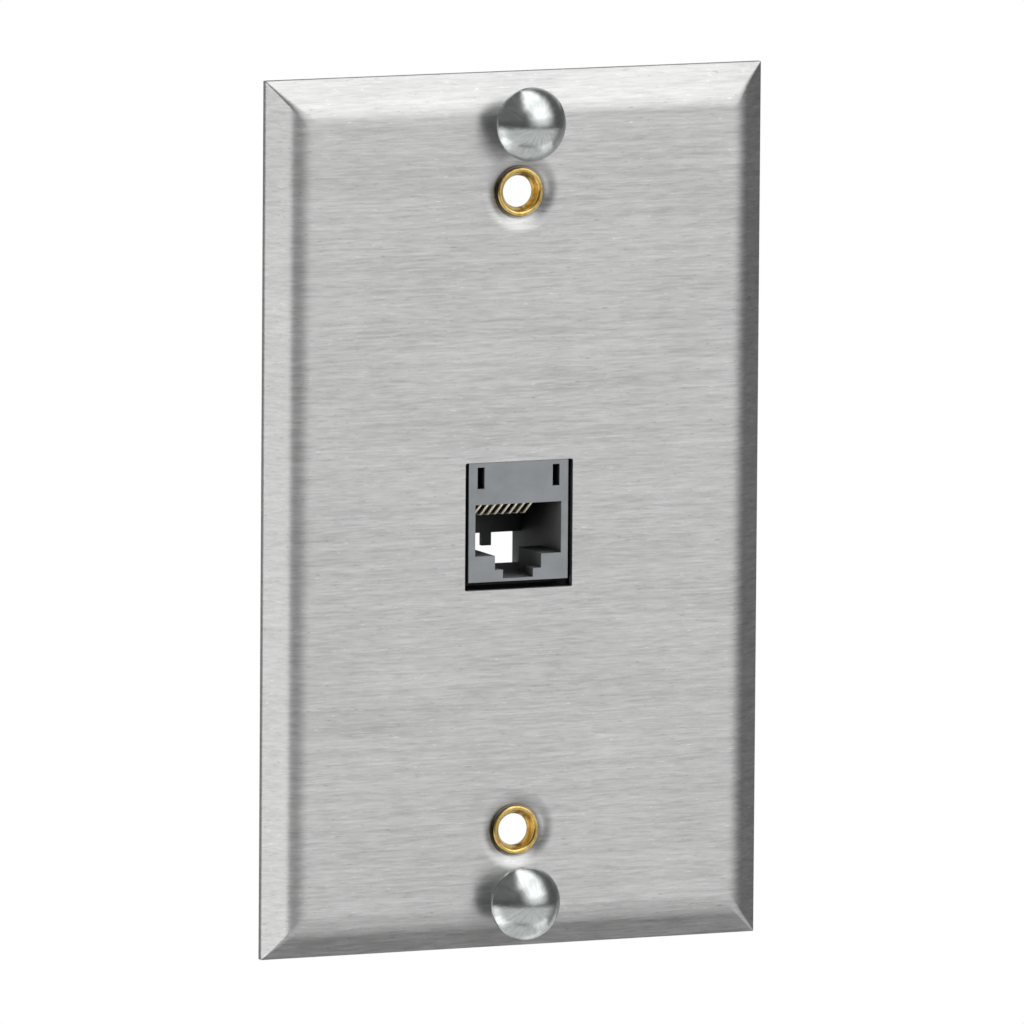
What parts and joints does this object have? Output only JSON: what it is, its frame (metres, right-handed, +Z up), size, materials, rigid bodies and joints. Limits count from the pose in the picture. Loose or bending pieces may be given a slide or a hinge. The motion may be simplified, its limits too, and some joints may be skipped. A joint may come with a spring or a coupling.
{
  "type": "flush wall telephone plate",
  "caption": "Flush steel wall plate for a hanging telephone, with mushroom studs, brass-lined screw holes and a snap-in modular jack.",
  "frame": {"origin": "the centre of the part's bounding box: midway across and up the plate, and 7.75 mm behind the wall plane that its rim rests on", "axes": "+Z up the plate, +X to the right as a person faces it, -Y out of the wall, +Y into the wall box"},
  "size_m": [0.0698, 0.0332, 0.1142],
  "materials": {
    "brushed_steel": "fine horizontal brushing",
    "zinc_steel": "dull zinc plate",
    "polished_steel": "bright, slightly worn",
    "brass": "bright rolled brass",
    "grey_plastic": "fine moulded texture",
    "dark_plastic": "moulded",
    "gold_plate": "bright plate",
    "tin_plate": "matte tin",
    "laminate": "solder mask"
  },
  "bodies": {
    "plate": {"faceplate": "brushed_steel", "backing_strap": "zinc_steel", "upper_hanging_stud": "polished_steel", "lower_hanging_stud": "polished_steel", "upper_eyelet": "brass", "lower_eyelet": "brass", "jack_housing": "grey_plastic", "contact_block": "dark_plastic", "circuit_board": "laminate", "idc_carrier": "grey_plastic", "contact_lead_1": "gold_plate", "contact_lead_2": "gold_plate", "contact_lead_3": "gold_plate", "contact_lead_4": "gold_plate", "contact_lead_5": "gold_plate", "contact_lead_6": "gold_plate", "contact_lead_7": "gold_plate", "contact_lead_8": "gold_plate", "idc_terminal_1": "tin_plate", "idc_terminal_2": "tin_plate", "idc_terminal_3": "tin_plate", "idc_terminal_4": "tin_plate", "idc_terminal_5": "tin_plate", "idc_terminal_6": "tin_plate", "idc_terminal_7": "tin_plate", "idc_terminal_8": "tin_plate"},
    "latch": {"jack_latch": "grey_plastic"},
    "cap": {"wire_cap": "grey_plastic"},
    "spring_1": {"contact_1": "gold_plate"},
    "spring_2": {"contact_2": "gold_plate"},
    "spring_3": {"contact_3": "gold_plate"},
    "spring_4": {"contact_4": "gold_plate"},
    "spring_5": {"contact_5": "gold_plate"},
    "spring_6": {"contact_6": "gold_plate"},
    "spring_7": {"contact_7": "gold_plate"},
    "spring_8": {"contact_8": "gold_plate"}
  },
  "joints": [
    {"name": "latch_flex", "type": "hinge", "parent": "plate", "child": "latch", "pos_m": [0, 0.00215, 0.0061], "axis": [1, 0, 0], "range_deg": [0, 8]},
    {"name": "cap_slide", "type": "slide", "parent": "plate", "child": "cap", "axis": [0, 1, 0], "range_m": [0, 0.007]},
    {"name": "contact_1_flex", "type": "hinge", "parent": "plate", "child": "spring_1", "pos_m": [-0.00357, -0.00705, 0.00245], "axis": [1, 0, 0], "range_deg": [0, 10]},
    {"name": "contact_2_flex", "type": "hinge", "parent": "plate", "child": "spring_2", "pos_m": [-0.00255, -0.00705, 0.00245], "axis": [1, 0, 0], "range_deg": [0, 10]},
    {"name": "contact_3_flex", "type": "hinge", "parent": "plate", "child": "spring_3", "pos_m": [-0.00153, -0.00705, 0.00245], "axis": [1, 0, 0], "range_deg": [0, 10]},
    {"name": "contact_4_flex", "type": "hinge", "parent": "plate", "child": "spring_4", "pos_m": [-0.00051, -0.00705, 0.00245], "axis": [1, 0, 0], "range_deg": [0, 10]},
    {"name": "contact_5_flex", "type": "hinge", "parent": "plate", "child": "spring_5", "pos_m": [0.00051, -0.00705, 0.00245], "axis": [1, 0, 0], "range_deg": [0, 10]},
    {"name": "contact_6_flex", "type": "hinge", "parent": "plate", "child": "spring_6", "pos_m": [0.00153, -0.00705, 0.00245], "axis": [1, 0, 0], "range_deg": [0, 10]},
    {"name": "contact_7_flex", "type": "hinge", "parent": "plate", "child": "spring_7", "pos_m": [0.00255, -0.00705, 0.00245], "axis": [1, 0, 0], "range_deg": [0, 10]},
    {"name": "contact_8_flex", "type": "hinge", "parent": "plate", "child": "spring_8", "pos_m": [0.00357, -0.00705, 0.00245], "axis": [1, 0, 0], "range_deg": [0, 10]}
  ],
  "couplings": [
    {"joint": "contact_2_flex", "follows": "contact_1_flex", "ratio": 1},
    {"joint": "contact_3_flex", "follows": "contact_1_flex", "ratio": 1},
    {"joint": "contact_4_flex", "follows": "contact_1_flex", "ratio": 1},
    {"joint": "contact_5_flex", "follows": "contact_1_flex", "ratio": 1},
    {"joint": "contact_6_flex", "follows": "contact_1_flex", "ratio": 1},
    {"joint": "contact_7_flex", "follows": "contact_1_flex", "ratio": 1},
    {"joint": "contact_8_flex", "follows": "contact_1_flex", "ratio": 1}
  ]
}
